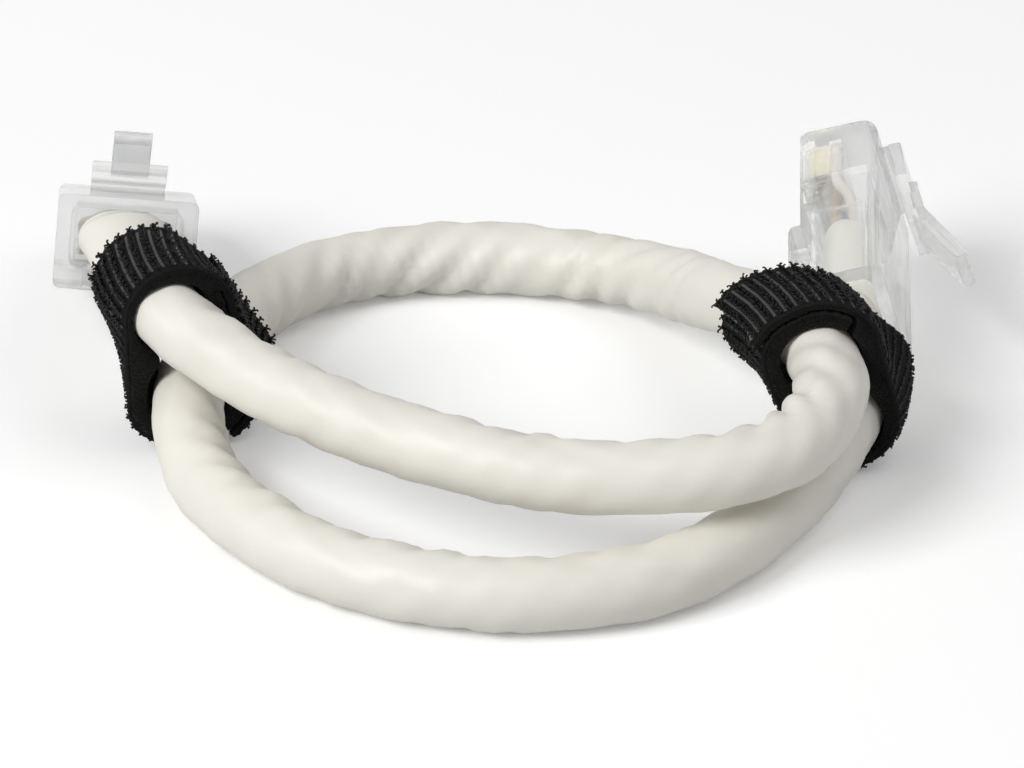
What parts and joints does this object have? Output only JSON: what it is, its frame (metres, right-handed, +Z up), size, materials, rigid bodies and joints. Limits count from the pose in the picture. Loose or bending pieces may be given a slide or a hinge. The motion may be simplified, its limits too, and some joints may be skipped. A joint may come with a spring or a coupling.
{
  "type": "ethernet patch cable",
  "caption": "Short round network cable with clear latching plugs on its ends, wound into a coil and held by hook-and-loop ties.",
  "frame": {"origin": "centre of the outline seen from above, on the plane the coil lies on", "axes": "+Z up out of the plane the coil lies on; +Y from the open front of the coil to the plugs; +X from the first plug's tie to the second's"},
  "size_m": [0.0781, 0.0637, 0.0189],
  "materials": {
    "jacket": "satin, slightly uneven extruded PVC",
    "separator": "natural",
    "insulation_blue": "smooth",
    "insulation_orange": "smooth",
    "insulation_green": "smooth",
    "insulation_brown": "smooth",
    "insulation_white_orange": "smooth, white with a pale orange tint",
    "insulation_white_green": "smooth, white with a pale green tint",
    "insulation_white_blue": "smooth, white with a pale blue tint",
    "insulation_white_brown": "smooth, white with a pale brown tint",
    "plug_clear": "clear moulded polycarbonate",
    "contact_gold": "gold-plated, polished",
    "hook_tape": "woven tape with rows of hooks",
    "loop_lining": "brushed loops"
  },
  "bodies": {
    "cable_assembly": {"cable_jacket": "jacket", "separator": "separator", "pair_blue": "insulation_blue", "pair_orange": "insulation_orange", "pair_green": "insulation_green", "pair_brown": "insulation_brown", "tie_left_hook_tape": "hook_tape", "tie_left_loop_lining": "loop_lining", "tie_right_hook_tape": "hook_tape", "tie_right_loop_lining": "loop_lining", "plug_a_housing": "plug_clear", "plug_a_contact_1": "contact_gold", "plug_a_contact_2": "contact_gold", "plug_a_contact_3": "contact_gold", "plug_a_contact_4": "contact_gold", "plug_a_contact_5": "contact_gold", "plug_a_contact_6": "contact_gold", "plug_a_contact_7": "contact_gold", "plug_a_contact_8": "contact_gold", "plug_a_conductor_1": "insulation_white_orange", "plug_a_conductor_2": "insulation_orange", "plug_a_conductor_3": "insulation_white_green", "plug_a_conductor_4": "insulation_blue", "plug_a_conductor_5": "insulation_white_blue", "plug_a_conductor_6": "insulation_green", "plug_a_conductor_7": "insulation_white_brown", "plug_a_conductor_8": "insulation_brown", "plug_b_housing": "plug_clear", "plug_b_contact_1": "contact_gold", "plug_b_contact_2": "contact_gold", "plug_b_contact_3": "contact_gold", "plug_b_contact_4": "contact_gold", "plug_b_contact_5": "contact_gold", "plug_b_contact_6": "contact_gold", "plug_b_contact_7": "contact_gold", "plug_b_contact_8": "contact_gold", "plug_b_conductor_1": "insulation_white_orange", "plug_b_conductor_2": "insulation_orange", "plug_b_conductor_3": "insulation_white_green", "plug_b_conductor_4": "insulation_blue", "plug_b_conductor_5": "insulation_white_blue", "plug_b_conductor_6": "insulation_green", "plug_b_conductor_7": "insulation_white_brown", "plug_b_conductor_8": "insulation_brown"},
    "latch_a": {"plug_a_latch": "plug_clear"},
    "latch_b": {"plug_b_latch": "plug_clear"}
  },
  "joints": [
    {"name": "latch_a_hinge", "type": "hinge", "parent": "cable_assembly", "child": "latch_a", "pos_m": [-0.03259, 0.03096, 0.00727], "axis": [0.9946, 0.0261, -0.1004], "range_deg": [0, 5], "stiffness_Nm_per_rad": 0.05},
    {"name": "latch_b_hinge", "type": "hinge", "parent": "cable_assembly", "child": "latch_b", "pos_m": [0.03311, 0.0262, 0.01044], "axis": [0.279, 0.0908, -0.956], "range_deg": [0, 9], "stiffness_Nm_per_rad": 0.05}
  ]
}
